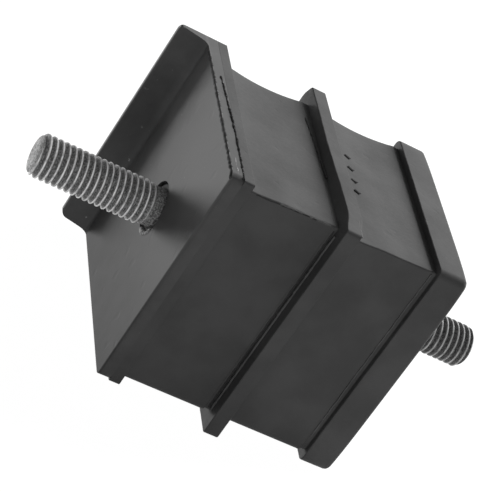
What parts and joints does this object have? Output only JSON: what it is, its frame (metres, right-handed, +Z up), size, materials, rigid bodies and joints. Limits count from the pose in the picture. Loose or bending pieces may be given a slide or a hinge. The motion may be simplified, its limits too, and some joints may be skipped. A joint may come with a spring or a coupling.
{
  "type": "engine mount",
  "caption": "Square rubber engine mount with a lipped steel end plate, a flat end plate, an interleaf plate and a threaded stud out of each end.",
  "frame": {"origin": "on the studs' common axis, in the plane of the angle plate's outer face", "axes": "+X runs from the long stud's plate to the short stud's plate along the stud axis, +Y points to the side that carries the lip, +Z is up as the mount lies on its plates' edges"},
  "size_m": [0.1109, 0.0634, 0.058],
  "materials": {
    "rubber": "satin moulded black rubber",
    "plate_steel": "satin black paint",
    "stud_steel": "dull plated steel with a rolled thread"
  },
  "bodies": {
    "root": {"rubber_body": "rubber", "angle_plate": "plate_steel", "flat_plate": "plate_steel", "interleaf_plate": "plate_steel", "long_stud": "stud_steel", "short_stud": "stud_steel"}
  },
  "joints": []
}
